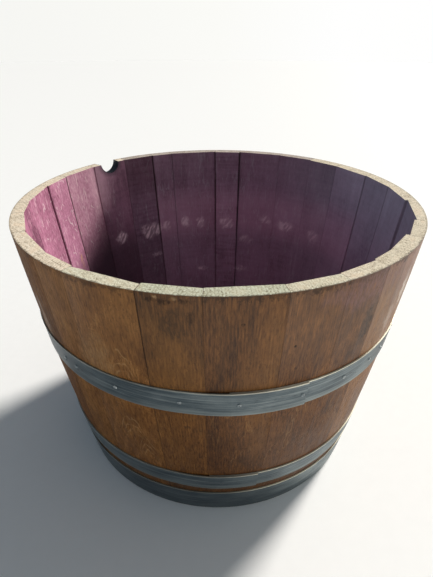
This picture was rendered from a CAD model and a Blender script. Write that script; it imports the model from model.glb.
import math
import random

import bmesh
import bpy
from mathutils import Matrix, Vector


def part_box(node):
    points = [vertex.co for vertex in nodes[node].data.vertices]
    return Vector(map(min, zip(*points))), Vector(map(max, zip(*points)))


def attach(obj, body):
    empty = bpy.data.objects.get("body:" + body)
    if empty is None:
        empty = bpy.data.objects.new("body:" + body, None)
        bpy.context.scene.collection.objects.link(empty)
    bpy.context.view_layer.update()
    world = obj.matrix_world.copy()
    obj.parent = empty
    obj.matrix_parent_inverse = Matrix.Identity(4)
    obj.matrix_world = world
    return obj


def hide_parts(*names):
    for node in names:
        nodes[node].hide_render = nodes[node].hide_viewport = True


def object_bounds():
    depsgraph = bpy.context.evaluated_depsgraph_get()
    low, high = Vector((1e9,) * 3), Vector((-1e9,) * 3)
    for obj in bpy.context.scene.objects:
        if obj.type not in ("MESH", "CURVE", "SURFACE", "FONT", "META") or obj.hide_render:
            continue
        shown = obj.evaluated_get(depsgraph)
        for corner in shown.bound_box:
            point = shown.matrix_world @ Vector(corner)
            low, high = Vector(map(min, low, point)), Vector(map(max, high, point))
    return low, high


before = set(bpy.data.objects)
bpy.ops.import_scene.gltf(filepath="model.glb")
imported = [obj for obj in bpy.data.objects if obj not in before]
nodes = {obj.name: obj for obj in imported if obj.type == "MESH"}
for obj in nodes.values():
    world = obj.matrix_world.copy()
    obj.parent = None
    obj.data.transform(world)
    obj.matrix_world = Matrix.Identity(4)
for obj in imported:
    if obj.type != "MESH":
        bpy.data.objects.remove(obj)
cad_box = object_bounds()

RIM_Z = cad_box[1].z
STAVES = [n for n in sorted(nodes) if n.startswith("stave_") or n == "bung_stave"]
BOARDS = [n for n in sorted(nodes) if n.startswith("head_board_")]
HOOPS = ["bilge_hoop", "quarter_hoop", "head_hoop"]
PHOTO_WIDE, PHOTO_TALL = 433, 577  # pixels
SENSOR = 36.0  # millimetres


def placed(name, data):
    """A new object of that name, put into the scene."""
    thing = bpy.data.objects.new(name, data)
    bpy.context.scene.collection.objects.link(thing)
    return thing


# ---- Camera ----

def photo_camera():
    """The photograph's own viewpoint: above the rim, looking down at the near hoops."""
    data = bpy.data.cameras.new("photo_camera")
    data.sensor_width = SENSOR
    data.lens = SENSOR * PHOTO_WIDE / PHOTO_TALL
    data.clip_end = 60.0
    camera = placed("photo_camera", data)
    right = Vector((0.99999153, 0.00398276, 0.00103389))
    up = Vector((-0.00291871, 0.50945345, 0.86049327))
    back = Vector((0.00290042, -0.860489, 0.50946076))
    turn = Matrix((right, up, back)).transposed()
    stand = Matrix.Translation((0.0, -0.74577, 0.72410))
    camera.matrix_world = stand @ turn.to_4x4()
    bpy.context.scene.camera = camera


photo_camera()


# ---- Material kit ----

def srgb(red, green, blue):
    """A colour given as a screen shows it, made linear."""
    def linear(v):
        v /= 255.0
        return v / 12.92 if v <= 0.04045 else ((v + 0.055) / 1.055) ** 2.4
    return (linear(red), linear(green), linear(blue), 1.0)


def add_node(tree, kind, wires=None, **settings):
    """A node whose inputs are wired to other nodes' outputs or set to plain values."""
    node = tree.nodes.new(kind)
    for key, value in settings.items():
        setattr(node, key, value)
    for socket, source in (wires or {}).items():
        if isinstance(source, bpy.types.NodeSocket):
            tree.links.new(source, node.inputs[socket])
        else:
            node.inputs[socket].default_value = source
    return node


def add_ramp(tree, value, stops):
    """Colours along a value: each stop is a place from 0 to 1 and a colour."""
    node = add_node(tree, "ShaderNodeValToRGB", {0: value})
    points = node.color_ramp.elements
    while len(points) < len(stops):
        points.new(0.5)
    for point, (at, colour) in zip(points, stops):
        point.position = at
        point.color = (*colour[:3], 1.0)
    return node.outputs[0]


class Finish:
    """A surface finish being mixed: each method adds one node and hands back its output."""

    def __init__(self, name):
        self.material = bpy.data.materials.new(name)
        self.material.use_nodes = True
        self.tree = self.material.node_tree
        self.tree.nodes.clear()
        self.place = self.add("ShaderNodeTexCoord")
        self.here = self.place.outputs["Object"]

    def add(self, kind, wires=None, **settings):
        return add_node(self.tree, kind, wires, **settings)

    def sum(self, a, b):
        return self.add("ShaderNodeMath", {0: a, 1: b}, operation="ADD").outputs[0]

    def less(self, a, b):
        return self.add("ShaderNodeMath", {0: a, 1: b}, operation="SUBTRACT").outputs[0]

    def times(self, a, b):
        return self.add("ShaderNodeMath", {0: a, 1: b}, operation="MULTIPLY").outputs[0]

    def over(self, a, b):
        return self.add("ShaderNodeMath", {0: a, 1: b}, operation="DIVIDE").outputs[0]

    def math(self, operation, a, b=0.0):
        return self.add("ShaderNodeMath", {0: a, 1: b}, operation=operation).outputs[0]

    def fade(self, value, start, end, low=0.0, high=1.0):
        """Low before start, high after end, and a smooth run between."""
        return self.add("ShaderNodeMapRange", {0: value, 1: start, 2: end, 3: low, 4: high},
                        interpolation_type="SMOOTHSTEP").outputs[0]

    def band(self, value, centre, half, soft):
        """1 within half of the centre, fading out over soft."""
        away = self.math("ABSOLUTE", self.less(value, centre))
        return self.fade(away, half, half + soft, 1.0, 0.0)

    def mix(self, amount, a, b, blend="MIX"):
        return self.add("ShaderNodeMix", {0: amount, 6: a, 7: b}, data_type="RGBA",
                        blend_type=blend).outputs[2]

    def ramp(self, value, *stops):
        return add_ramp(self.tree, value, stops)

    def stretch(self, vector, x, y, z):
        return self.add("ShaderNodeVectorMath", {0: vector, 1: (x, y, z)},
                        operation="MULTIPLY").outputs[0]

    def shift(self, vector, offset):
        return self.add("ShaderNodeVectorMath", {0: vector, 1: offset},
                        operation="ADD").outputs[0]

    def noise(self, vector, scale, detail=2.0, rough=0.5, warp=0.0):
        return self.add("ShaderNodeTexNoise", {"Vector": vector, "Scale": scale,
                        "Detail": detail, "Roughness": rough,
                        "Distortion": warp}).outputs[0]

    def split(self, vector):
        node = self.add("ShaderNodeSeparateXYZ", {0: vector})
        return node.outputs[0], node.outputs[1], node.outputs[2]

    def spot(self, azimuth, height, wide, tall, ragged=0.0, inset=0.0):
        """1 at a place on the tub's wall, fading out at wide and tall from it."""
        a = math.radians(azimuth)
        r = wall_radius(height) - inset
        centre = Vector((r * math.sin(a), -r * math.cos(a), height))
        away = self.shift(self.here, -centre)
        away = self.stretch(away, 1 / wide, 1 / wide, 1 / tall)
        far = self.add("ShaderNodeVectorMath", {0: away}, operation="LENGTH").outputs[1]
        if ragged:
            rough = self.noise(self.here, 1.2 / min(wide, tall), 3.0, 0.6)
            far = self.sum(far, self.times(self.less(rough, 0.5), ragged))
        return self.fade(far, 0.35, 1.0, 1.0, 0.0)

    def bump(self, height, depth, strength=1.0, under=None):
        wires = {"Strength": strength, "Distance": depth, "Height": height}
        if under is not None:
            wires["Normal"] = under
        return self.add("ShaderNodeBump", wires).outputs[0]

    def finish(self, colour, rough, normal, **more):
        wires = {"Base Color": colour, "Roughness": rough, "Normal": normal}
        wires.update((socket.replace("_", " "), value) for socket, value in more.items())
        shader = self.add("ShaderNodeBsdfPrincipled", wires)
        out = self.add("ShaderNodeOutputMaterial")
        self.tree.links.new(shader.outputs[0], out.inputs[0])
        return self.material


def dress(node, material):
    """Gives a CAD node one material in place of its own."""
    mesh = node.data
    mesh.materials.clear()
    mesh.materials.append(material)


# ---- Oak staves ----

FOOT_R, RIM_R, WALL_BOW = 0.28175, 0.34325, 0.0053
WINE_LINE = 0.0365  # in the groove that holds the head: below it the oak is bare
BUNG_LIFT = 0.0025  # of the bung hole's axis above the rim
BUNG_R, BUNG_TAPER = 0.02530, 0.1136
WALL = 0.022  # thickness of the staves at the rim
EDGE_DARK = srgb(34, 22, 18)


def wall_radius(height):
    """The tub's outer radius at a height: a shallow bow between foot and rim."""
    part = height / RIM_Z
    return FOOT_R + (RIM_R - FOOT_R) * part + 4 * WALL_BOW * part * (1.0 - part)


def stave_seat(node):
    """Azimuth of a stave's middle, and the tangent of half the angle it spans."""
    points = [v.co for v in node.data.vertices]
    away = sum((Vector((p.x, p.y)) for p in points), Vector((0.0, 0.0)))
    near = math.atan2(away.x, -away.y)
    turns = []
    for p in points:
        turn = math.atan2(p.x, -p.y) - near
        turns.append((turn + math.pi) % (2 * math.pi) - math.pi)
    return near + (min(turns) + max(turns)) / 2, math.tan((max(turns) - min(turns)) / 2)


class StaveOak(Finish):
    """One stave's oak. X runs across the stave, Z along it, and -Y out of the tub."""

    def __init__(self, name, seat, seed, look):
        super().__init__(name)
        self.middle, self.half = seat
        self.look = look
        dice = random.Random(seed)
        self.turned = self.add("ShaderNodeMapping", {"Vector": self.here,
                               "Rotation": (0.0, 0.0, -self.middle)}).outputs[0]
        facing = self.add("ShaderNodeMapping", {"Vector": self.place.outputs["Normal"],
                          "Rotation": (0.0, 0.0, -self.middle)},
                          vector_type="VECTOR").outputs[0]
        self.across, self.depth, self.up = self.split(self.turned)
        sideways, inward, upward = self.split(facing)
        self.wood = self.shift(self.turned, [dice.uniform(-9, 9) for _ in range(3)])
        self.edge_face = self.fade(self.math("ABSOLUTE", sideways), 0.75, 0.9)
        self.skin = self.depth_in_wall()
        buried = self.times(self.edge_face, self.fade(self.skin, 0.008, 0.014))
        self.inside = self.math("MAXIMUM", self.fade(inward, 0.25, 0.5), buried)
        self.sawn = self.times(self.fade(upward, 0.6, 0.8),
                               self.fade(self.up, RIM_Z - 0.004, RIM_Z - 0.002))
        self.under = self.fade(upward, -0.5, -0.7)

    def depth_in_wall(self):
        """How far a point lies behind the stave's outer face."""
        part = self.over(self.up, RIM_Z)
        bow = self.times(self.times(part, self.less(1.0, part)), 4 * WALL_BOW)
        wall = self.sum(self.sum(self.times(part, RIM_R - FOOT_R), FOOT_R), bow)
        flat = self.stretch(self.here, 1.0, 1.0, 0.0)
        out = self.add("ShaderNodeVectorMath", {0: flat}, operation="LENGTH").outputs[1]
        return self.less(wall, out)

    def along(self, squeeze, scale, detail=2.0, rough=0.5, warp=0.0):
        """Noise drawn out along the grain."""
        return self.noise(self.stretch(self.wood, 1, 1, squeeze), scale, detail, rough, warp)

    def grain(self):
        """Growth rings round a pith beside or behind the stave, fibres, pores and clouds."""
        pith_x, pith_y, lean_x, lean_y, ring = self.look["pith"]
        wander = self.times(self.less(self.along(0.22, 9.0), 0.5), self.look["wander"])
        ring_x = self.sum(self.less(self.across, self.sum(pith_x, self.times(self.up, lean_x))),
                          wander)
        ring_y = self.less(self.depth, self.sum(pith_y, self.times(self.up, lean_y)))
        ring_at = self.add("ShaderNodeCombineXYZ", {0: ring_x, 1: ring_y, 2: self.up}).outputs[0]
        rings = self.add("ShaderNodeTexWave", {"Vector": ring_at, "Scale": 0.314 / ring,
                         "Distortion": 2.4, "Detail": 2.0, "Detail Scale": 14.0,
                         "Detail Roughness": 0.6}, wave_type="RINGS", rings_direction="Z",
                         wave_profile="SAW").outputs[1]
        self.rings = self.math("POWER", rings, self.look["ring_edge"])
        self.fibres = self.along(0.05, 480.0, 4.0, 0.7)
        self.pores = self.fade(self.along(0.24, 430.0, 3.0, 0.65), 0.53, 0.63)
        self.flecks = self.along(0.085, 330.0, 3.0, 0.65)
        self.streaks = self.along(0.06, 95.0, 3.0, 0.55)
        self.clouds = self.along(0.5, 14.0, 4.0, 0.6)

    def flames(self, scale, width):
        """Wavering pale lines, where a ray of the oak reaches the surface."""
        level = self.along(0.11, scale, 3.0, 0.6, 0.1)
        line = self.band(level, 0.5, 0.0, width)
        return self.times(line, self.fade(self.along(0.5, 24.0), 0.48, 0.58))

    def arches(self):
        """Flat-sawn figure: nested pale arches where the rings break the surface."""
        wobble = self.times(self.less(self.along(0.5, 70.0, 2.0, 0.5), 0.5), 0.7)
        drawn = 0.0
        for azimuth, foot, wide, tall in self.look["arches"]:
            centre = math.tan(math.radians(azimuth) - self.middle) * wall_radius(foot)
            x = self.over(self.less(self.across, centre), wide)
            z = self.over(self.less(self.up, foot), tall)
            level = self.sum(self.sum(z, self.times(x, x)), wobble)
            ring = self.math("FRACT", self.times(level, 2.6))
            line = self.times(self.band(ring, 0.5, 0.0, 0.20),
                              self.fade(level, 0.95, 1.1, 1.0, 0.0))
            line = self.times(line, self.fade(level, 0.0, 0.2))
            line = self.times(line, self.fade(self.math("ABSOLUTE", x), 0.7, 1.2, 1.0, 0.0))
            drawn = self.math("MAXIMUM", drawn, self.times(line, self.fade(z, -0.9, 0.2)))
        broken = self.fade(self.along(0.4, 90.0), 0.36, 0.56, 0.2, 1.0)
        return self.times(drawn, self.times(broken, 0.42))

    def marks(self, colour, marks, inset, ragged, strokes=None):
        """Stains, smudges and chips at their own places on the wall."""
        near_r = 0.3  # metres, about the wall's radius: turns a width into an angle
        for azimuth, height, wide, tall, deep, hue in marks:
            turn = (math.radians(azimuth) - self.middle + math.pi) % (2 * math.pi) - math.pi
            if abs(turn) < math.atan(self.half) + wide / near_r:
                spot = self.spot(azimuth, height, wide, tall, ragged, inset)
                if strokes is not None:
                    spot = self.times(spot, strokes)
                colour = self.mix(self.times(spot, deep), colour, hue)
        return colour

    def outside(self):
        """Brown oiled oak."""
        tone = self.sum(self.times(self.rings, self.look["ring_mark"]),
                        self.times(self.streaks, 0.34))
        tone = self.sum(tone, self.times(self.less(self.fibres, 0.5), 0.85))
        tone = self.sum(tone, self.times(self.less(self.flecks, 0.5), 0.6))
        tone = self.sum(tone, self.times(self.less(self.clouds, 0.5), 0.5))
        tone = self.sum(tone, self.look["shade"] + 0.165)
        colour = self.ramp(tone, (0.16, srgb(60, 36, 20)), (0.40, srgb(106, 70, 38)),
                           (0.64, srgb(140, 96, 53)), (0.95, srgb(182, 136, 84)))
        honey = self.fade(self.along(0.35, 8.0, 3.0, 0.6), 0.48, 0.68)
        colour = self.mix(self.times(honey, 0.35), colour, srgb(158, 112, 60))
        flames = self.times(self.flames(52.0, 0.022), self.fade(self.up, 0.27, 0.33, 1.0, 0.3))
        colour = self.mix(self.times(flames, self.look["flames"]), colour, srgb(186, 146, 96))
        colour = self.mix(self.times(self.pores, 0.40), colour, srgb(62, 38, 22))
        colour = self.mix(self.look["tint"][0], colour, self.look["tint"][1], "MULTIPLY")
        low = self.fade(self.up, 0.16, 0.30, self.look["low_soil"], 0.0)
        colour = self.mix(low, colour, srgb(80, 50, 26))
        strip = self.fade(self.up, 0.075, 0.090, 0.4, 0.0)
        colour = self.mix(strip, colour, srgb(60, 42, 28))
        film = self.fade(self.up, 0.27, 0.42, 0.0, self.look["top_film"])
        colour = self.mix(film, colour, srgb(206, 186, 170))
        if self.look["arches"]:
            colour = self.mix(self.arches(), colour, srgb(196, 158, 108))
        grain = self.fade(self.along(0.3, 330.0, 3.0, 0.65), 0.40, 0.58, 0.35, 1.0)
        colour = self.marks(colour, OUTSIDE_MARKS, 0.0, 1.6, grain)
        below = self.less(RIM_Z, self.up)
        rough = self.noise(self.stretch(self.wood, 1, 1, 0.8), 150.0, 4.0, 0.7)
        soil = self.fade(self.sum(below, self.times(self.less(0.5, rough), 0.06)),
                         0.0015, 0.0065, 1.0, 0.0)
        return self.mix(self.times(soil, self.look["rim_soil"]), colour, srgb(60, 44, 33))

    def rim(self):
        """Bare sawn end grain, speckled, with warm blotches."""
        self.speckle = self.noise(self.wood, 530.0, 3.0, 0.75)
        blotch = self.noise(self.wood, 48.0, 3.0, 0.6)
        kerf = self.add("ShaderNodeTexWave", {"Vector": self.here, "Scale": 60.0,
                        "Distortion": 1.5, "Detail": 2.0, "Detail Scale": 3.0},
                        wave_type="BANDS", bands_direction="DIAGONAL").outputs[1]
        tone = self.sum(self.times(self.less(self.speckle, 0.5), 0.98), 0.4)
        tone = self.sum(tone, self.times(blotch, 0.35))
        tone = self.sum(tone, self.times(self.rings, -0.10))
        tone = self.sum(tone, self.times(kerf, 0.05))
        colour = self.ramp(tone, (0.36, srgb(122, 106, 86)), (0.46, srgb(200, 187, 167)),
                           (0.58, srgb(230, 220, 202)), (0.74, srgb(252, 247, 236)))
        warm = self.fade(blotch, 0.52, 0.68)
        colour = self.mix(self.times(warm, 0.22), colour, srgb(220, 180, 134))
        colour = self.mix(1.0, colour, self.look["rim_tint"], "MULTIPLY")
        crumbs = self.noise(self.wood, 210.0, 4.0, 0.75)
        crumbled = self.less(self.skin, self.times(self.less(crumbs, 0.38), 0.013))
        dirt = self.fade(crumbled, -0.0004, 0.0010, 1.0, 0.0)
        return self.mix(self.times(dirt, self.look["rim_dirt"]), colour, srgb(74, 58, 42))

    def wine(self):
        """The inner face: oak that wine has stained for years, scratched and scuffed."""
        colour = self.stained()
        colour = self.mix(self.times(self.scratches(), self.look["scratches"]), colour,
                          srgb(232, 214, 214))
        colour = self.mix(1.0, colour, self.look["wine_tint"], "MULTIPLY")
        colour = self.shaded(colour)
        return self.marks(colour, INSIDE_MARKS, WALL, 1.3, self.strokes())

    def stained(self):
        """Purple oak, planed across, with pale hairs and rays, and a bluer bloom at the right."""
        fuzz = self.noise(self.stretch(self.wood, 1, 1, 0.4), 330.0, 3.0, 0.7)
        tone = self.sum(self.times(self.streaks, 0.30), self.times(self.fibres, 0.2))
        tone = self.sum(tone, self.times(self.less(fuzz, 0.5), self.look["wine_grain"]))
        tone = self.sum(tone, self.times(self.less(self.clouds, 0.5), 0.8))
        tone = self.sum(tone, 0.15 + self.look["wine_shade"])
        planed = self.noise(self.stretch(self.wood, 0.12, 0.12, 1.0), 150.0, 2.0, 0.5)
        tone = self.sum(tone, self.times(self.less(planed, 0.5), self.look["chatter"]))
        colour = self.ramp(tone, (0.10, srgb(116, 74, 92)), (0.36, srgb(168, 114, 136)),
                           (0.62, srgb(196, 138, 162)), (0.95, srgb(226, 180, 196)))
        hairs = self.fade(self.along(0.07, 300.0, 2.0, 0.6, 0.3), 0.60, 0.68)
        colour = self.mix(self.times(hairs, self.look["hairs"]), colour, srgb(238, 206, 212))
        colour = self.mix(self.times(self.flames(46.0, 0.02), 0.3), colour,
                          srgb(226, 190, 202))
        turn = self.math("ARCTAN2", self.across, self.times(self.depth, -1.0))
        bloom_at, bloom_wide = math.radians(94), 1.25
        from_bloom = self.math("ABSOLUTE", self.sum(turn, self.middle - bloom_at))
        bloom = self.times(self.fade(from_bloom, 0.0, bloom_wide, 0.95, 0.0),
                           self.fade(self.up, 0.24, 0.46, 0.45, 1.0))
        haze = self.ramp(tone, (0.10, srgb(168, 148, 166)), (0.36, srgb(206, 186, 202)),
                         (0.62, srgb(228, 206, 222)), (0.95, srgb(246, 232, 242)))
        return self.mix(bloom, colour, haze)

    def scratches(self):
        """Fine scratches, in bent nets here and there."""
        bent = self.add("ShaderNodeTexNoise", {"Vector": self.wood, "Scale": 22.0}).outputs[1]
        bent = self.add("ShaderNodeVectorMath", {0: bent, 1: (0.05, 0.05, 0.05),
                        2: self.wood}, operation="MULTIPLY_ADD").outputs[0]
        bent = self.stretch(bent, 1.0, 1.0, 0.6)
        nets = self.add("ShaderNodeTexVoronoi", {"Vector": bent, "Scale": 34.0},
                        feature="DISTANCE_TO_EDGE").outputs[0]
        return self.times(self.fade(nets, 0.0, 0.03, 1.0, 0.0),
                          self.fade(self.noise(self.wood, 46.0, 2.0), 0.54, 0.62))

    def shaded(self, colour):
        """The inner face where it is darker at top and foot, or lighter at half height."""
        colour = self.mix(self.fade(self.up, 0.30, 0.46, 0.0, self.look["top_shade"]), colour,
                          srgb(92, 62, 76))
        colour = self.mix(self.fade(self.up, 0.25, 0.33, self.look["foot_film"], 0.0), colour,
                          srgb(122, 112, 118))
        line = self.sum(self.up, self.times(self.across, self.look["shade_lean"]))
        colour = self.mix(self.fade(line, 0.25, 0.395, self.look["foot_shade"], 0.0), colour,
                          srgb(60, 46, 56))
        if self.look["glow"]:
            start, end, amount = self.look["glow"]
            glow = self.times(self.fade(self.across, start, end, 0.0, amount),
                              self.fade(self.up, 0.355, 0.40))
            colour = self.mix(glow, colour, srgb(250, 206, 220))
        elif self.look["middle_light"]:
            band = self.times(self.band(self.up, 0.33, 0.02, 0.06), self.look["middle_light"])
            colour = self.mix(band, colour, srgb(236, 186, 206))
        return colour

    def strokes(self):
        """Slanted strokes, which the scuffs are made of."""
        stroke_lean, stroke_length = -0.55, 5.0
        slant = self.add("ShaderNodeMapping", {"Vector": self.turned,
                         "Rotation": (0.0, stroke_lean, 0.0),
                         "Scale": (1.0, 1.0, stroke_length)},
                         vector_type="TEXTURE").outputs[0]
        return self.fade(self.noise(slant, 150.0, 2.0, 0.6), 0.44, 0.58, 0.25, 1.0)

    def joints(self):
        """A dark line along both long edges, broken here and there, faint near the foot."""
        lean = self.over(self.across, self.math("ABSOLUTE", self.depth))
        outer_width, dark_widens = 0.0005, 1.9
        gaps = self.fade(self.noise(self.turned, 17.0, 2.0), 0.36, 0.52, 0.45, 1.0)
        high = self.fade(self.up, 0.20, 0.33, 0.55, 1.0)
        ragged = self.times(self.along(0.3, 160.0), 0.0007)
        lines = []
        for side, (outer_mark, inner_mark) in zip((1.0, -1.0), self.look["seams"]):
            inner_width = self.look["seam_width"] * (dark_widens if inner_mark > 0.7 else 1.0)
            width = self.fade(self.inside, 0.0, 1.0, outer_width, inner_width)
            away = self.times(self.sum(self.half, self.times(lean, side)), 0.33)
            line = self.fade(self.over(self.less(away, ragged), width), 0.2, 1.0, 1.0, 0.0)
            dark = self.fade(self.inside, 0.0, 1.0, outer_mark, inner_mark)
            lines.append(self.times(line, dark))
        line = self.math("MAXIMUM", lines[0], lines[1])
        line = self.times(line, self.less(1.0, self.times(self.edge_face, 0.85)))
        line = self.times(line, self.times(gaps, high))
        behind = self.times(self.times(self.edge_face, self.inside), self.look["behind"])
        return self.math("MAXIMUM", line, behind)

    def char(self, colour):
        """The bung hole's bore, burnt smooth when it was made."""
        lift = self.less(self.up, RIM_Z + BUNG_LIFT)
        away = self.add("ShaderNodeCombineXYZ", {0: self.across, 1: lift, 2: 0.0}).outputs[0]
        away = self.add("ShaderNodeVectorMath", {0: away}, operation="LENGTH").outputs[1]
        bore = self.less(BUNG_R, self.times(self.skin, BUNG_TAPER))
        away = self.less(away, bore)
        burnt = self.fade(away, 0.0002, 0.0009, 1.0, 0.0)
        scorch = self.times(self.fade(away, 0.0, 0.012, 0.5, 0.0), self.inside)
        burnt = self.math("MAXIMUM", burnt, scorch)
        soot = self.ramp(self.noise(self.wood, 260.0, 3.0, 0.6),
                         (0.35, srgb(27, 30, 40)), (0.65, srgb(44, 48, 60)))
        return self.mix(burnt, colour, soot)

    def hollowed(self):
        """The inner face is hollowed, so its shading runs on from stave to stave, and on the
        right over the steps between them as well."""
        upward_lean = 0.13
        rounded = self.add("ShaderNodeBevel", {"Radius": 0.0005}, samples=4).outputs[0]
        out = self.stretch(self.here, -1.0, -1.0, 0.0)
        out = self.add("ShaderNodeVectorMath", {0: out}, operation="NORMALIZE").outputs[0]
        out = self.shift(out, (0.0, 0.0, upward_lean))
        share = self.less(1.0, self.times(self.edge_face, self.look["edge_turn"]))
        share = self.times(self.times(self.inside, share), 0.9)
        both = self.add("ShaderNodeMix", {0: share, 4: rounded, 5: out},
                        data_type="VECTOR").outputs[1]
        return self.add("ShaderNodeVectorMath", {0: both}, operation="NORMALIZE").outputs[0]

    def made(self):
        """The stave's material: its faces, joints and sawn end, and the bung hole's bore."""
        self.grain()
        outside, rim, wine, joint = self.outside(), self.rim(), self.wine(), self.joints()
        stained = self.times(self.inside, self.fade(self.up, WINE_LINE, WINE_LINE + 0.003))
        colour = self.mix(stained, outside, wine)
        colour = self.mix(self.sawn, colour, rim)
        joint = self.times(joint, self.fade(self.sawn, 0.0, 1.0, 1.0, 0.5))
        colour = self.mix(joint, colour, EDGE_DARK)
        stood_on = self.mix(1.0, rim, srgb(156, 128, 104), "MULTIPLY")
        colour = self.mix(self.under, colour, stood_on)
        if self.look["bung"]:
            colour = self.char(colour)
        rough = self.fade(self.sum(self.streaks, self.times(self.pores, 0.2)), 0.2, 0.9,
                          0.28 + self.look["dull"], 0.48 + self.look["dull"])
        rough = self.sum(rough, self.times(self.math("MAXIMUM", self.sawn, self.inside), 0.3))
        height = self.sum(self.times(self.fibres, 0.5), self.times(self.pores, -0.5))
        height = self.sum(height, self.times(self.rings, 0.2))
        height = self.sum(height, self.times(joint, -1.2))
        relief = self.bump(height, 0.0004, 0.45, self.hollowed())
        relief = self.bump(self.times(self.sawn, self.speckle), 0.0008, 0.6, relief)
        return self.finish(colour, rough, relief, Specular_IOR_Level=self.look["sheen"])


# How dark each joint is, outside and inside, from the first stave's left joint on
JOINT_MARKS = [
    (0.4, 0.75), (0.4, 0.12), (0.4, 0.1), (0.45, 0.1), (0.2, 0.1), (0.15, 0.1), (0.85, 0.1),
    (0.05, 0.15), (0.0, 0.15), (0.0, 0.15), (0.1, 0.2), (0.15, 0.2), (0.15, 0.2), (0.15, 0.2),
    (0.3, 0.2), (0.3, 0.2), (0.3, 0.15), (0.3, 0.15), (0.2, 0.15), (0.3, 0.15), (0.4, 0.75),
    (0.3, 0.8), (0.3, 0.4), (0.2, 0.8), (0.3, 0.4), (0.3, 0.15), (0.3, 0.95),
]
PURPLE = srgb(150, 114, 114)
GREY_STAIN = srgb(62, 50, 42)
RUBBED = srgb(236, 222, 208)
SMOKE = srgb(40, 29, 23)
CHIP = srgb(196, 164, 120)
PALE_WINE = srgb(242, 226, 230)
CLAY = srgb(206, 160, 124)

# Marks on the outside: azimuth, height, half width, half height, depth of the mark, hue
OUTSIDE_MARKS = [
    (34.0, 0.462, 0.080, 0.055, 0.50, PURPLE), (50.0, 0.450, 0.070, 0.060, 0.42, PURPLE),
    (36.6, 0.388, 0.014, 0.056, 0.80, GREY_STAIN), (-9.2, 0.433, 0.026, 0.034, 0.60, GREY_STAIN),
    (33.5, 0.345, 0.010, 0.030, 0.50, GREY_STAIN), (53.0, 0.404, 0.014, 0.036, 0.95, RUBBED),
    (48.5, 0.365, 0.016, 0.040, 0.35, RUBBED), (-52.5, 0.350, 0.016, 0.060, 0.27, RUBBED),
    (-5.3, 0.444, 0.008, 0.010, 0.50, SMOKE), (-13.2, 0.466, 0.010, 0.006, 0.75, SMOKE),
    (-10.3, 0.464, 0.012, 0.007, 0.75, SMOKE), (-6.6, 0.467, 0.010, 0.005, 0.70, SMOKE),
    (-12.0, 0.470, 0.004, 0.003, 0.60, CHIP), (-8.2, 0.470, 0.005, 0.003, 0.55, CHIP),
    (5.0, 0.434, 0.0034, 0.0034, 1.00, SMOKE), (16.7, 0.390, 0.0028, 0.0028, 1.00, SMOKE),
    (17.8, 0.349, 0.0028, 0.0028, 1.00, SMOKE), (-7.8, 0.239, 0.007, 0.005, 0.60, SMOKE),
    (7.5, 0.151, 0.010, 0.020, 0.45, SMOKE), (31.0, 0.229, 0.016, 0.022, 0.40, GREY_STAIN),
    (-30.0, 0.340, 0.040, 0.060, 0.25, CHIP), (20.0, 0.470, 0.020, 0.006, 0.50, SMOKE),
    (28.0, 0.471, 0.016, 0.005, 0.45, SMOKE), (-26.0, 0.470, 0.014, 0.005, 0.45, SMOKE),
]

# Scuffs inside, most of them at one height, in the same order
INSIDE_MARKS = [
    (-131.9, 0.302, 0.020, 0.018, 0.75, PALE_WINE), (-147.3, 0.300, 0.028, 0.026, 0.75, PALE_WINE),
    (-155.0, 0.304, 0.012, 0.016, 0.55, PALE_WINE), (-163.9, 0.307, 0.014, 0.020, 0.70, PALE_WINE),
    (-171.7, 0.303, 0.015, 0.018, 0.75, PALE_WINE), (175.7, 0.300, 0.022, 0.018, 0.62, PALE_WINE),
    (157.2, 0.317, 0.018, 0.014, 0.48, PALE_WINE), (147.0, 0.310, 0.026, 0.018, 0.60, PALE_WINE),
    (132.0, 0.306, 0.018, 0.020, 0.45, PALE_WINE), (-148.8, 0.235, 0.016, 0.007, 0.70, PALE_WINE),
    (-171.8, 0.179, 0.018, 0.008, 0.50, PALE_WINE), (-106.5, 0.300, 0.006, 0.028, 0.90, CLAY),
    (168.0, 0.180, 0.020, 0.012, 0.45, PALE_WINE), (166.0, 0.260, 0.022, 0.016, 0.35, PALE_WINE),
]

# Arched figure of the wide stave at the left front: azimuth, foot, half width, height
ARCHES = [(-22.6, 0.325, 0.022, 0.045), (-24.5, 0.188, 0.024, 0.045), (-20.8, 0.145, 0.018, 0.040)]

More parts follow.
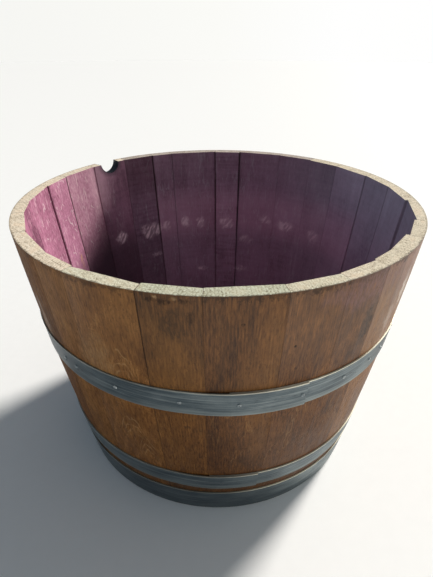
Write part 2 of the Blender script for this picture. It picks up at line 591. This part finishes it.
# What sets single staves apart, for each value of stave_look that it puts right
STAVE_NOTES = {
    "stave_04": {"shade": 0.07, "tint": (0.5, srgb(255, 232, 190)), "top_film": 0.0},
    "stave_05": {"shade": 0.24, "pith": (0.12, -0.26, 0.12, -0.02, 0.004),
                 "tint": (0.5, srgb(250, 240, 222))},
    "stave_06": {"shade": 0.21, "pith": (0.014, -0.262, 0.0, 0.05, 0.0125),
                 "tint": (0.5, srgb(252, 240, 216)), "arches": ARCHES,
                 "ring_mark": 0.20, "ring_edge": 7.0, "wander": 0.016},
    "stave_07": {"shade": 0.05, "ring_mark": 0.10},
    "stave_08": {"shade": -0.02, "tint": (0.5, srgb(250, 234, 214)), "ring_mark": 0.10,
                 "flames": 0.30, "low_soil": 0.30},
    "stave_09": {"shade": 0.04, "tint": (0.5, srgb(252, 232, 214)), "ring_mark": 0.10,
                 "flames": 0.38, "low_soil": 0.45},
    "stave_10": {"shade": 0.05, "pith": (0.004, -0.27, 0.0, 0.04, 0.009),
                 "tint": (0.5, srgb(254, 234, 216)), "ring_mark": 0.12,
                 "ring_edge": 5.0, "flames": 0.36, "low_soil": 0.36},
    "stave_11": {"shade": 0.23, "tint": (0.5, srgb(254, 236, 216)), "low_soil": 0.25,
                 "top_film": 0.21},
    "stave_12": {"shade": 0.29, "low_soil": 0.6, "top_film": 0.27},
    "stave_13": {"shade": 0.12, "low_soil": 0.65, "top_film": 0.16},
    "stave_14": {"shade": 0.05, "low_soil": 0.5},
    "stave_21": {"chatter": 0.55},
    "stave_02": {"wine_shade": -0.22},
    "stave_24": {"wine_shade": -0.10, "top_shade": 0.6, "foot_shade": 0.35, "chatter": 0.4,
                 "middle_light": 0.0},
    "bung_stave": {"wine_shade": -0.02, "top_shade": 0.1, "foot_shade": 0.75,
                   "glow": (-0.004, 0.036, 0.25), "shade_lean": -0.2},
    "stave_26": {"wine_shade": 0.22, "foot_shade": 0.95, "shade_lean": 0.8, "top_shade": 0.0,
                 "glow": (-0.012, -0.032, 0.32), "seam_width": 0.0018},
    "stave_27": {"wine_shade": 0.10, "top_shade": 0.0, "seam_width": 0.0018},
}


def rim_tint(azimuth):
    """The sawn rim is duller and greener at the front, greyer behind, warmer at the sides."""
    if abs(azimuth) < 16:
        return srgb(219, 228, 218)
    if abs(azimuth) < 30:
        return srgb(236, 238, 228)
    if abs(azimuth) > 135:
        return srgb(206, 200, 204)
    return srgb(255, 249, 243) if azimuth < 0 else srgb(240, 236, 226)


def wine_tint(azimuth):
    """Old wine is pinker on the left wall, bluer on the right, and greyer round the back."""
    if -98 < azimuth < 40:
        return srgb(246, 236, 243)
    if -112 < azimuth < -98:
        return srgb(253, 248, 253)
    if -126 < azimuth < -112:
        return srgb(243, 250, 246)
    if -140 < azimuth < -126:
        return srgb(216, 238, 236)
    return srgb(216, 252, 250) if 40 < azimuth < 125 else srgb(211, 253, 246)


def stave_look(name, index, azimuth):
    """What sets one stave apart: rings, shade, tint, and how dark its joints are."""
    dice = random.Random(500 + index)
    side = dice.choice((-1, 1))
    sunlit = -126 < azimuth < -70
    rear = abs(azimuth) > 125
    look = {
        # Where the pith stands across and behind, how it leans, and how wide a ring is
        "pith": (side * dice.uniform(0.16, 0.4), dice.uniform(-0.42, -0.3),
                 dice.uniform(-0.02, 0.02), 0.0, dice.uniform(0.0032, 0.0046)),
        "wander": 0.014,
        "arches": (),
        "ring_edge": 1.6,
        "ring_mark": dice.uniform(0.09, 0.18),
        "flames": dice.uniform(0.05, 0.28),
        "shade": dice.uniform(-0.02, 0.06),
        "chatter": 0.22,
        "wine_grain": 1.0 if sunlit else 0.35,
        "middle_light": 0.2 if abs(azimuth) > 115 else 0.0,
        "scratches": 0.8 if sunlit else 0.08,
        "hairs": 0.55 if sunlit else 0.2,
        "dull": 0.30 if -110 < azimuth < -30 else 0.08,
        "sheen": 0.12 if -110 < azimuth < -20 else 0.17,
        "low_soil": 0.15,
        "top_film": 0.05 if azimuth < 10 else 0.10,
        "top_shade": 0.24 if rear else 0.0,
        "foot_shade": 0.0,
        "shade_lean": 0.0,
        "foot_film": 0.25 if rear else 0.35,
        "glow": (),
        # The inner steps beside the joints: how dark they are, and how much of their own
        # shading they keep
        "behind": 0.8 if abs(azimuth) > 150 else 0.12,
        "edge_turn": 0.3 if 40 < azimuth < 150 else 1.0,
        "seam_width": 0.0009 if -112 < azimuth < 112 else 0.0013,
        "wine_shade": dice.uniform(-0.01, 0.09),
        "tint": (0.5, srgb(dice.uniform(240, 255), dice.uniform(222, 243),
                           dice.uniform(184, 220))),
        "rim_tint": rim_tint(azimuth),
        "wine_tint": wine_tint(azimuth),
        "seams": (JOINT_MARKS[index], JOINT_MARKS[(index + 1) % len(JOINT_MARKS)]),
        "rim_soil": dice.uniform(0.3, 0.6),
        "rim_dirt": 0.7 if abs(azimuth) < 60 else 0.4,
        "bung": name == "bung_stave",
    }
    look.update(STAVE_NOTES.get(name, {}))
    return look


def round_the_tub(name):
    """A stave's place in the row, counted from the first joint round to the right."""
    return 24 if name == "bung_stave" else int(name[-2:]) - 1


for name in STAVES:
    index = round_the_tub(name)
    seat = stave_seat(nodes[name])
    look = stave_look(name, index, math.degrees(seat[0]))
    dress(nodes[name], StaveOak("oak_" + name, seat, seed=100 + index, look=look).made())


def lees_leaf(joint):
    """One thin upright leaf that follows the bow of the wall, in the joint at an azimuth."""
    thick, deep, shallow, low, high = 0.00026, 0.0085, 0.0006, 0.003, RIM_Z - 0.001
    leaf = bmesh.new()
    bmesh.ops.create_cube(leaf, size=1.0)
    uprights = [e for e in leaf.edges if abs(e.verts[0].co.z - e.verts[1].co.z) > 0.5]
    bmesh.ops.subdivide_edges(leaf, edges=uprights, cuts=9, use_grid_fill=True)
    for v in leaf.verts:
        height = low + (high - low) * (v.co.z + 0.5)
        r = wall_radius(height) - (shallow if v.co.y < 0 else deep)
        side = v.co.x * thick
        v.co = (r * math.sin(joint) + side * math.cos(joint),
                side * math.sin(joint) - r * math.cos(joint), height)
    return leaf


def joint_lees():
    """Dried lees in the joints: a thin leaf in each, which keeps daylight out of the tub."""
    half_gap = 0.00053  # radians
    mesh = bpy.data.meshes.new("joint_lees")
    leaves = bmesh.new()
    for name in STAVES:
        middle, half = stave_seat(nodes[name])
        leaf = lees_leaf(middle + math.atan(half) + half_gap)
        leaf.to_mesh(mesh)
        leaf.free()
        leaves.from_mesh(mesh)
    leaves.to_mesh(mesh)
    leaves.free()
    lees = Finish("dried_lees")
    crust = lees.noise(lees.stretch(lees.here, 1, 1, 0.3), 160.0, 3.0, 0.6)
    colour = lees.ramp(crust, (0.3, srgb(84, 56, 34)), (0.7, srgb(138, 98, 60)))
    mesh.materials.append(lees.finish(colour, 0.8, lees.bump(crust, 0.0003, 0.4)))
    made = placed("joint_lees", mesh)
    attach(made, "root")


joint_lees()


# ---- Head boards ----

def board_oak(name, seed, low, high):
    """A head board between two places on Y: its grain runs along X, and old wine has
    darkened its upper face."""
    dice = random.Random(seed)
    oak = Finish(name)
    wood = oak.shift(oak.here, (dice.uniform(-9, 9), dice.uniform(-9, 9), dice.uniform(-9, 9)))
    _, _, upward = oak.split(oak.place.outputs["Normal"])
    _, across, _ = oak.split(oak.here)
    fibres = oak.noise(oak.stretch(wood, 0.035, 1, 1), 520.0, 3.0, 0.6)
    streaks = oak.noise(oak.stretch(wood, 0.06, 1, 1), 95.0, 3.0, 0.55)
    clouds = oak.noise(oak.stretch(wood, 0.6, 1, 1), 14.0, 4.0, 0.6)
    pith = (0.0, -(low + high) / 2 + dice.uniform(-0.04, 0.04), dice.uniform(0.04, 0.10))
    ring_at = oak.stretch(oak.shift(oak.here, pith), 0.15, 1, 1)
    rings = oak.add("ShaderNodeTexWave", {"Vector": ring_at, "Scale": 75.0,
                    "Distortion": 2.6, "Detail": 2.0, "Detail Scale": 12.0,
                    "Detail Roughness": 0.6}, wave_type="RINGS", rings_direction="X",
                    wave_profile="SAW").outputs[1]
    tone = oak.sum(oak.times(streaks, 0.5), oak.times(fibres, 0.35))
    tone = oak.sum(tone, oak.times(oak.less(clouds, 0.5), 0.7))
    tone = oak.sum(tone, oak.times(oak.less(rings, 0.5), 0.16))
    tone = oak.sum(tone, dice.uniform(-0.04, 0.16))
    wine = oak.ramp(tone, (0.2, srgb(86, 46, 60)), (0.5, srgb(138, 86, 102)),
                    (0.85, srgb(184, 134, 146)))
    bare = oak.ramp(tone, (0.2, srgb(92, 66, 44)), (0.5, srgb(142, 108, 74)),
                    (0.85, srgb(184, 148, 108)))
    colour = oak.mix(oak.fade(upward, 0.2, 0.5), bare, wine)
    edge = oak.math("MINIMUM", oak.less(across, low), oak.less(high, across))
    colour = oak.mix(oak.fade(edge, 0.0004, 0.0018, 0.8, 0.0), colour, srgb(30, 18, 20))
    rough = oak.fade(streaks, 0.2, 0.8, 0.55, 0.75)
    relief = oak.bump(oak.sum(fibres, oak.times(rings, 0.3)), 0.0004, 0.5)
    return oak.finish(colour, rough, relief, Specular_IOR_Level=0.3)


for index, name in enumerate(BOARDS):
    low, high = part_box(name)
    dress(nodes[name], board_oak("oak_" + name, 300 + index, low.y, high.y))
# The dowels are far from these two places, so no board joint is drawn on them.
dress(nodes["head_dowels"], board_oak("dowel_oak", 320, -1.0, 1.0))


# ---- Hoops, rivets and screws ----

def hoop_steel(name, low, high, seed, left_grime, grime):
    """Dull galvanised strap, streaked along its length, worn bright on its edges.

    The grime is given at the strap's left end and in front of the tub."""
    steel = Finish(name)
    side, _, up = steel.split(steel.here)
    at = steel.shift(steel.here, (seed * 1.7, seed * 0.9, seed * 2.3))
    drawn = steel.noise(steel.stretch(at, 7, 7, 330), 1.0, 4.0, 0.65, 0.4)
    thin = steel.noise(steel.stretch(at, 14, 14, 1400), 1.0, 2.0, 0.6)
    patch = steel.noise(steel.stretch(at, 1, 1, 3), 14.0, 4.0, 0.6)
    grit = steel.noise(at, 900.0, 2.0, 0.6)
    tone = steel.sum(steel.times(drawn, 0.62), steel.times(thin, 0.30))
    tone = steel.sum(tone, steel.times(steel.less(patch, 0.2), 0.40))
    tone = steel.sum(tone, steel.times(grit, 0.08))
    colour = steel.ramp(tone, (0.46, srgb(54, 66, 74)), (0.60, srgb(104, 117, 122)),
                        (0.74, srgb(150, 160, 161)), (0.90, srgb(192, 197, 193)))
    smear = steel.fade(steel.noise(steel.stretch(at, 30, 30, 60), 1.0, 3.0, 0.7, 0.8),
                       0.62, 0.7)
    colour = steel.mix(steel.times(smear, 0.45), colour, srgb(44, 48, 52))
    foot = steel.less(up, low)
    colour = steel.mix(steel.fade(foot, 0.002, 0.014, 0.35, 0.0), colour, srgb(150, 160, 158))
    edge = steel.math("MINIMUM", foot, steel.less(high, up))
    colour = steel.mix(steel.fade(edge, 0.0004, 0.0014, 0.5, 0.0), colour, srgb(176, 178, 168))
    # The grime thins out to the right, and the right end is dull instead
    dark = steel.times(steel.fade(side, -0.23, -0.14, left_grime, grime),
                       steel.fade(side, 0.02, 0.22, 1.0, 0.0))
    colour = steel.mix(dark, colour, srgb(26, 37, 48))
    colour = steel.mix(steel.fade(side, 0.21, 0.27, 0.0, 0.8), colour, srgb(78, 84, 86))
    # The top edge shines in patches, most of all to the right of the middle
    lip = steel.fade(steel.less(high, up), 0.0012, 0.0026, 1.0, 0.0)
    shine = steel.times(lip, steel.fade(patch, 0.3, 0.6, 0.7, 1.0))
    shine = steel.times(shine, steel.fade(side, -0.02, 0.12, 0.22, 1.0))
    shine = steel.times(shine, steel.fade(side, 0.22, 0.28, 1.0, 0.7))
    colour = steel.mix(shine, colour, srgb(252, 246, 222))
    metal = steel.fade(shine, 0.0, 1.0, 0.55, 0.1)
    rough = steel.fade(tone, 0.3, 0.9, 0.36, 0.58)
    rounded = steel.add("ShaderNodeBevel", {"Radius": 0.0006}, samples=4).outputs[0]
    relief = steel.bump(drawn, 0.0004, 0.35, rounded)
    relief = steel.bump(patch, 0.004, 0.3, relief)
    return steel.finish(colour, rough, relief, Metallic=metal)


# How grimy each hoop is, at its left end and in front
GRIME = [(0.42, 0.2), (0.05, 0.32), (0.3, 0.55)]
for index, (name, grime) in enumerate(zip(HOOPS, GRIME)):
    low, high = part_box(name)
    steel = hoop_steel("galvanised_" + name, low.z, high.z, index + 1, *grime)
    dress(nodes[name], steel)
    dress(nodes[name + "_rivets"], steel)


def screw_zinc():
    zinc = Finish("zinc_screw")
    grit = zinc.noise(zinc.here, 1500.0, 2.0, 0.6)
    film = zinc.noise(zinc.here, 90.0, 2.0)
    colour = zinc.ramp(film, (0.3, srgb(136, 146, 150)), (0.7, srgb(194, 200, 200)))
    rough = zinc.fade(grit, 0.3, 0.7, 0.24, 0.40)
    return zinc.finish(colour, rough, zinc.bump(grit, 0.0001, 0.3), Metallic=0.6)


MM_PER_M = 1000
WELD = 1e-6  # vertices closer than this are one


def turned_screw():
    """One screw along +Z with its dome's top at 0, before its recess is cut."""
    mesh = bmesh.new()
    radius_and_height = [(0.0, 0.0), (1.1, -0.05), (1.9, -0.28), (2.5, -0.65), (2.84, -1.2),
                         (2.88, -1.8), (1.5, -1.8), (1.5, -15.0), (0.0, -18.0)]
    ring = [mesh.verts.new((r / MM_PER_M, 0.0, z / MM_PER_M)) for r, z in radius_and_height]
    for a, b in zip(ring, ring[1:]):
        mesh.edges.new((a, b))
    bmesh.ops.spin(mesh, geom=mesh.verts[:] + mesh.edges[:], axis=(0, 0, 1), cent=(0, 0, 0),
                   steps=40, angle=2 * math.pi, use_merge=True)
    bmesh.ops.remove_doubles(mesh, verts=mesh.verts, dist=WELD)
    bmesh.ops.recalc_face_normals(mesh, faces=mesh.faces)
    body = bpy.data.meshes.new("screw_pattern")
    mesh.to_mesh(body)
    mesh.free()
    return body


def in_fixed_order(mesh):
    """The same mesh with corners and faces sorted, because a cut leaves them in any order."""
    corners = sorted(mesh.verts, key=lambda v: v.co[:])
    place = {v: at for at, v in enumerate(corners)}
    faces = []
    for face in mesh.faces:
        ring = [place[v] for v in face.verts]
        first = ring.index(min(ring))
        faces.append(ring[first:] + ring[:first])
    body = bpy.data.meshes.new("screw_body")
    body.from_pydata([v.co[:] for v in corners], [], sorted(faces))
    return body


def cut_recess(body):
    """Cuts the cross recess into the screw's dome and hands back the finished mesh."""
    arm_at_top, arm_at_foot, arm_thick = 1.6, 0.8, 0.7
    cutter_top, recess_foot = 0.4, -1.3
    cutter = bmesh.new()
    for turn in (0.0, math.pi / 2):
        made = bmesh.ops.create_cube(cutter, size=1.0)["verts"]
        for v in made:
            top = v.co.z > 0
            arm = arm_at_top if top else arm_at_foot
            v.co = Vector((v.co.x * 2 * arm, v.co.y * arm_thick,
                           cutter_top if top else recess_foot)) / MM_PER_M
        bmesh.ops.rotate(cutter, cent=(0, 0, 0), matrix=Matrix.Rotation(turn, 3, "Z"), verts=made)
    tool_mesh = bpy.data.meshes.new("recess_tool")
    cutter.to_mesh(tool_mesh)
    cutter.free()
    tool = placed("recess_tool", tool_mesh)
    blank = placed("screw_blank", body)
    cut = blank.modifiers.new("recess", "BOOLEAN")
    cut.object = tool
    cut.operation = "DIFFERENCE"
    cut.solver = "EXACT"
    cut.use_self = True
    graph = bpy.context.evaluated_depsgraph_get()
    done = bpy.data.meshes.new_from_object(blank.evaluated_get(graph))
    clean = bmesh.new()
    clean.from_mesh(done)
    bmesh.ops.remove_doubles(clean, verts=clean.verts, dist=WELD)
    screw = in_fixed_order(clean)
    clean.free()
    for thing in (tool, blank):
        bpy.data.objects.remove(thing)
    return screw


def solids_in(mesh):
    """Each separate solid of a mesh, as the places of its vertices."""
    solids = bmesh.new()
    solids.from_mesh(mesh)
    bmesh.ops.remove_doubles(solids, verts=solids.verts, dist=WELD)
    solids.verts.index_update()
    taken = set()
    for start in solids.verts:
        if start.index in taken:
            continue
        taken.add(start.index)
        group = [start]
        for v in group:
            for e in v.link_edges:
                other = e.other_vert(v)
                if other.index not in taken:
                    taken.add(other.index)
                    group.append(other)
        yield [v.co.copy() for v in group]
    solids.free()


def hoop_screws():
    """Every screw of the bilge hoop, each where its CAD solid is."""
    pattern = cut_recess(turned_screw())
    screws = bmesh.new()
    dice = random.Random(5)
    for points in solids_in(nodes["bilge_hoop_screws"].data):
        tip = min(points, key=lambda p: p.x * p.x + p.y * p.y)
        axis = (sum(points, Vector()) / len(points) - tip).normalized()
        top = tip + axis * max((p - tip).dot(axis) for p in points)
        piece = bmesh.new()
        piece.from_mesh(pattern)
        turn = Matrix.Rotation(dice.uniform(0, math.pi), 4, "Z")
        lean = axis.to_track_quat("Z", "Y").to_matrix().to_4x4()
        bmesh.ops.transform(piece, verts=piece.verts,
                            matrix=Matrix.Translation(top) @ lean @ turn)
        spare = bpy.data.meshes.new("one_screw")
        piece.to_mesh(spare)
        piece.free()
        screws.from_mesh(spare)
        bpy.data.meshes.remove(spare)
    mesh = bpy.data.meshes.new("hoop_screws")
    screws.to_mesh(mesh)
    screws.free()
    mesh.materials.append(screw_zinc())
    for face in mesh.polygons:
        face.use_smooth = False
    made = placed("hoop_screws", mesh)
    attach(made, "root")
    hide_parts("bilge_hoop_screws")


hoop_screws()


# ---- Floor, light and air ----

def pale_floor():
    mesh = bmesh.new()
    bmesh.ops.create_circle(mesh, cap_ends=True, segments=96, radius=14.0)
    data = bpy.data.meshes.new("floor")
    mesh.to_mesh(data)
    mesh.free()
    floor = placed("floor", data)
    plaster = Finish("pale_floor")
    mottle = plaster.noise(plaster.here, 40.0, 3.0)
    colour = plaster.ramp(mottle, (0.3, srgb(250, 250, 249)), (0.7, srgb(252, 252, 251)))
    data.materials.append(plaster.finish(colour, 0.8, plaster.bump(mottle, 0.0001, 0.1)))


def key_lamp(azimuth, elevation, power, colour, softness):
    """A far, soft lamp that looks down at the tub from an azimuth and height."""
    a, e = math.radians(azimuth), math.radians(elevation)
    out = Vector((math.sin(a) * math.cos(e), -math.cos(a) * math.cos(e), math.sin(e)))
    data = bpy.data.lights.new("key_lamp", "SUN")
    data.energy = power
    data.color = colour
    data.angle = math.radians(softness)
    lamp = placed("key_lamp", data)
    lamp.matrix_world = (Matrix.Translation(out * 4.0)
                         @ out.to_track_quat("Z", "Y").to_matrix().to_4x4())


def studio_air():
    """Soft light all round: warmer from the right, dim and bluer overhead. What the camera
    sees past the floor is as pale as the floor."""
    world = bpy.data.worlds.new("studio_air")
    bpy.context.scene.world = world
    world.use_nodes = True
    tree = world.node_tree
    tree.nodes.clear()

    way = add_node(tree, "ShaderNodeTexCoord").outputs["Generated"]
    split = add_node(tree, "ShaderNodeSeparateXYZ", {0: way})
    climb = add_ramp(tree, split.outputs[2], [
        (0.05, (0.60, 0.58, 0.55)), (0.45, (0.26, 0.29, 0.32)), (0.95, (0.20, 0.24, 0.28))])
    turn = add_node(tree, "ShaderNodeMapRange", {0: split.outputs[0], 1: -1.0, 2: 1.0})
    sides = add_ramp(tree, turn.outputs[0], [
        (0.0, (0.38, 0.44, 0.52)), (0.5, (0.70, 0.72, 0.74)), (1.0, (1.7, 1.6, 1.42))])
    tone = add_node(tree, "ShaderNodeMix", {0: 1.0, 6: climb, 7: sides}, data_type="RGBA",
                    blend_type="MULTIPLY").outputs[2]
    air = add_node(tree, "ShaderNodeBackground", {0: tone, 1: 1.0})
    far = add_ramp(tree, turn.outputs[0], [
        (0.31, (0.926, 0.925, 0.895)), (0.5, (0.966, 0.964, 0.931)), (0.62, (1.0, 1.0, 0.995))])
    backdrop = add_node(tree, "ShaderNodeBackground", {0: far, 1: 1.0})
    ray = add_node(tree, "ShaderNodeLightPath")
    both = add_node(tree, "ShaderNodeMixShader", {0: ray.outputs["Is Camera Ray"],
                    1: air.outputs[0], 2: backdrop.outputs[0]})
    add_node(tree, "ShaderNodeOutputWorld", {0: both.outputs[0]})


pale_floor()
key_lamp(azimuth=136, elevation=31, power=4.7, colour=(1.0, 0.96, 0.90), softness=11)
studio_air()
bpy.context.scene.view_settings.view_transform = "Standard"
